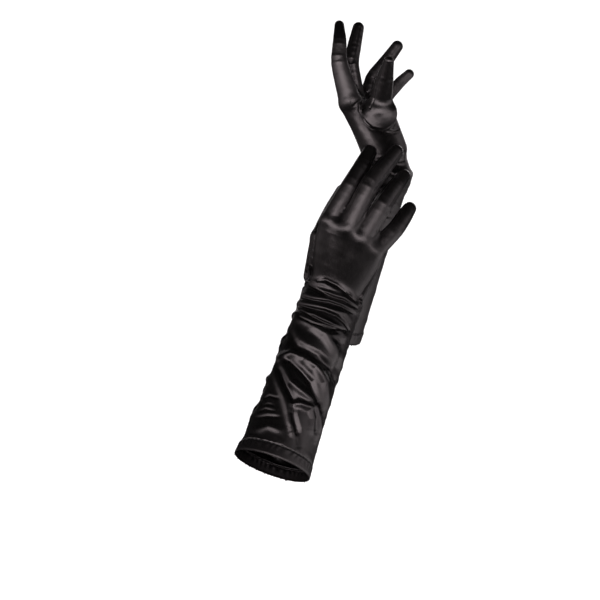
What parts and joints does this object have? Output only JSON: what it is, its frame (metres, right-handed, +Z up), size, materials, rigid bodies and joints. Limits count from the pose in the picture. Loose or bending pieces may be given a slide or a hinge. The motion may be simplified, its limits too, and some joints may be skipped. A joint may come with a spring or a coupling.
{
  "type": "opera gloves",
  "caption": "Pair of elbow-length stretch satin opera gloves in a worn pose, one hand closed round the other wrist.",
  "frame": {"origin": "centre of the right cuff's rim, where the right arm goes in", "axes": "+Z up along the raised hands, +X to the side that the left palm faces, +Y from the right hand back towards the left glove"},
  "size_m": [0.191, 0.2318, 0.4837],
  "materials": {
    "satin": "black stretch satin",
    "hem_satin": "black stretch satin, turned double",
    "stitch_thread": "black polyester thread"
  },
  "bodies": {
    "right_sleeve": {"right_sleeve_back": "satin", "right_sleeve_palm": "satin", "right_hem_band": "hem_satin", "right_hem_stitching": "stitch_thread", "right_side_seam": "stitch_thread"},
    "right_hand": {"right_hand_back": "satin", "right_hand_palm": "satin", "right_thumb_gusset": "satin"},
    "right_index_base": {"right_index_base_faces": "satin", "right_index_base_fourchettes": "satin"},
    "right_index_tip": {"right_index_tip_faces": "satin", "right_index_tip_fourchettes": "satin"},
    "right_middle_base": {"right_middle_base_faces": "satin", "right_middle_base_fourchettes": "satin"},
    "right_middle_tip": {"right_middle_tip_faces": "satin", "right_middle_tip_fourchettes": "satin"},
    "right_ring_base": {"right_ring_base_faces": "satin", "right_ring_base_fourchettes": "satin"},
    "right_ring_tip": {"right_ring_tip_faces": "satin", "right_ring_tip_fourchettes": "satin"},
    "right_little_base": {"right_little_base_faces": "satin", "right_little_base_fourchettes": "satin"},
    "right_little_tip": {"right_little_tip_faces": "satin", "right_little_tip_fourchettes": "satin"},
    "right_thumb_base": {"right_thumb_base_faces": "satin", "right_thumb_base_sides": "satin"},
    "right_thumb_tip": {"right_thumb_tip_faces": "satin", "right_thumb_tip_sides": "satin"},
    "left_sleeve": {"left_sleeve_back": "satin", "left_sleeve_palm": "satin", "left_hem_band": "hem_satin", "left_hem_stitching": "stitch_thread", "left_side_seam": "stitch_thread"},
    "left_hand": {"left_hand_back": "satin", "left_hand_palm": "satin", "left_thumb_gusset": "satin"},
    "left_index_base": {"left_index_base_faces": "satin", "left_index_base_fourchettes": "satin"},
    "left_index_tip": {"left_index_tip_faces": "satin", "left_index_tip_fourchettes": "satin"},
    "left_middle_base": {"left_middle_base_faces": "satin", "left_middle_base_fourchettes": "satin"},
    "left_middle_tip": {"left_middle_tip_faces": "satin", "left_middle_tip_fourchettes": "satin"},
    "left_ring_base": {"left_ring_base_faces": "satin", "left_ring_base_fourchettes": "satin"},
    "left_ring_tip": {"left_ring_tip_faces": "satin", "left_ring_tip_fourchettes": "satin"},
    "left_little_base": {"left_little_base_faces": "satin", "left_little_base_fourchettes": "satin"},
    "left_little_tip": {"left_little_tip_faces": "satin", "left_little_tip_fourchettes": "satin"},
    "left_thumb_base": {"left_thumb_base_faces": "satin", "left_thumb_base_sides": "satin"},
    "left_thumb_tip": {"left_thumb_tip_faces": "satin", "left_thumb_tip_sides": "satin"}
  },
  "joints": [
    {"name": "right_wrist", "type": "hinge", "parent": "right_sleeve", "child": "right_hand", "pos_m": [0.0602, 0.066, 0.16371], "axis": [-0.9502, -0.0162, 0.3112], "range_deg": [-35, 0]},
    {"name": "right_index_knuckle", "type": "hinge", "parent": "right_hand", "child": "right_index_base", "pos_m": [0.05794, 0.056, 0.24642], "axis": [-0.9502, -0.0162, 0.3112], "range_deg": [-25, 0]},
    {"name": "right_index_middle_joint", "type": "hinge", "parent": "right_index_base", "child": "right_index_tip", "pos_m": [0.07978, 0.06, 0.28392], "axis": [-0.9502, -0.0162, 0.3112], "range_deg": [-13, 0]},
    {"name": "right_middle_knuckle", "type": "hinge", "parent": "right_hand", "child": "right_middle_base", "pos_m": [0.07692, 0.051, 0.23896], "axis": [-0.9502, -0.0162, 0.3112], "range_deg": [-25, 0]},
    {"name": "right_middle_middle_joint", "type": "hinge", "parent": "right_middle_base", "child": "right_middle_tip", "pos_m": [0.09817, 0.054, 0.28246], "axis": [-0.9502, -0.0162, 0.3112], "range_deg": [-13, 0]},
    {"name": "right_ring_knuckle", "type": "hinge", "parent": "right_hand", "child": "right_ring_base", "pos_m": [0.09194, 0.053, 0.22873], "axis": [-0.9502, -0.0162, 0.3112], "range_deg": [-25, 0]},
    {"name": "right_ring_middle_joint", "type": "hinge", "parent": "right_ring_base", "child": "right_ring_tip", "pos_m": [0.11588, 0.057, 0.26509], "axis": [-0.9502, -0.0162, 0.3112], "range_deg": [-13, 0]},
    {"name": "right_little_knuckle", "type": "hinge", "parent": "right_hand", "child": "right_little_base", "pos_m": [0.10512, 0.059, 0.21654], "axis": [-0.9502, -0.0162, 0.3112], "range_deg": [-25, 0]},
    {"name": "right_little_middle_joint", "type": "hinge", "parent": "right_little_base", "child": "right_little_tip", "pos_m": [0.1278, 0.066, 0.23963], "axis": [-0.9502, -0.0162, 0.3112], "range_deg": [-13, 0]},
    {"name": "right_thumb_knuckle", "type": "hinge", "parent": "right_hand", "child": "right_thumb_base", "pos_m": [0.04952, 0.094, 0.23151], "axis": [-0.142, 0.9118, -0.3852], "range_deg": [-20, 0]},
    {"name": "right_thumb_middle_joint", "type": "hinge", "parent": "right_thumb_base", "child": "right_thumb_tip", "pos_m": [0.06257, 0.108, 0.25984], "axis": [-0.142, 0.9118, -0.3852], "range_deg": [-10.5, 0]},
    {"name": "left_glove_slide", "type": "slide", "parent": "right_sleeve", "child": "left_sleeve", "axis": [0, 1, 0], "range_m": [0, 0.15]},
    {"name": "left_wrist", "type": "hinge", "parent": "left_sleeve", "child": "left_hand", "pos_m": [0.12278, 0.115, 0.30262], "axis": [0.3659, 0.9294, 0.0476], "range_deg": [-12, 30]},
    {"name": "left_index_knuckle", "type": "hinge", "parent": "left_hand", "child": "left_index_base", "pos_m": [0.08127, 0.097, 0.37476], "axis": [0.3659, 0.9294, 0.0476], "range_deg": [-12, 24]},
    {"name": "left_index_middle_joint", "type": "hinge", "parent": "left_index_base", "child": "left_index_tip", "pos_m": [0.06896, 0.095, 0.41711], "axis": [0.3659, 0.9294, 0.0476], "range_deg": [-8.9, 17.3]},
    {"name": "left_middle_knuckle", "type": "hinge", "parent": "left_hand", "child": "left_middle_base", "pos_m": [0.08992, 0.115, 0.37373], "axis": [0.3659, 0.9294, 0.0476], "range_deg": [-15, 30]},
    {"name": "left_middle_middle_joint", "type": "hinge", "parent": "left_middle_base", "child": "left_middle_tip", "pos_m": [0.08244, 0.117, 0.4182], "axis": [0.3659, 0.9294, 0.0476], "range_deg": [-11, 21.5]},
    {"name": "left_ring_knuckle", "type": "hinge", "parent": "left_hand", "child": "left_ring_base", "pos_m": [0.09869, 0.132, 0.37034], "axis": [0.3659, 0.9294, 0.0476], "range_deg": [-30, 32]},
    {"name": "left_ring_middle_joint", "type": "hinge", "parent": "left_ring_base", "child": "left_ring_tip", "pos_m": [0.10544, 0.137, 0.40584], "axis": [0.3659, 0.9294, 0.0476], "range_deg": [-24.5, 26.1]},
    {"name": "left_little_knuckle", "type": "hinge", "parent": "left_hand", "child": "left_little_base", "pos_m": [0.10698, 0.147, 0.36442], "axis": [0.3659, 0.9294, 0.0476], "range_deg": [-42, 15]},
    {"name": "left_little_middle_joint", "type": "hinge", "parent": "left_little_base", "child": "left_little_tip", "pos_m": [0.12382, 0.154, 0.38945], "axis": [0.3659, 0.9294, 0.0476], "range_deg": [-13.1, 5]},
    {"name": "left_thumb_knuckle", "type": "hinge", "parent": "left_hand", "child": "left_thumb_base", "pos_m": [0.1116, 0.085, 0.36377], "axis": [-0.704, 0.6701, 0.2352], "range_deg": [-20, 10]},
    {"name": "left_thumb_middle_joint", "type": "hinge", "parent": "left_thumb_base", "child": "left_thumb_tip", "pos_m": [0.11552, 0.079, 0.3926], "axis": [-0.704, 0.6701, 0.2352], "range_deg": [-12.5, 6.5]}
  ],
  "couplings": [
    {"joint": "right_index_middle_joint", "follows": "right_index_knuckle", "ratio": 0.5},
    {"joint": "right_middle_middle_joint", "follows": "right_middle_knuckle", "ratio": 0.5},
    {"joint": "right_ring_middle_joint", "follows": "right_ring_knuckle", "ratio": 0.5},
    {"joint": "right_little_middle_joint", "follows": "right_little_knuckle", "ratio": 0.5},
    {"joint": "right_thumb_middle_joint", "follows": "right_thumb_knuckle", "ratio": 0.5},
    {"joint": "left_index_middle_joint", "follows": "left_index_knuckle", "ratio": 0.7},
    {"joint": "left_middle_middle_joint", "follows": "left_middle_knuckle", "ratio": 0.7},
    {"joint": "left_ring_middle_joint", "follows": "left_ring_knuckle", "ratio": 0.8},
    {"joint": "left_little_middle_joint", "follows": "left_little_knuckle", "ratio": 0.3},
    {"joint": "left_thumb_middle_joint", "follows": "left_thumb_knuckle", "ratio": 0.6}
  ]
}
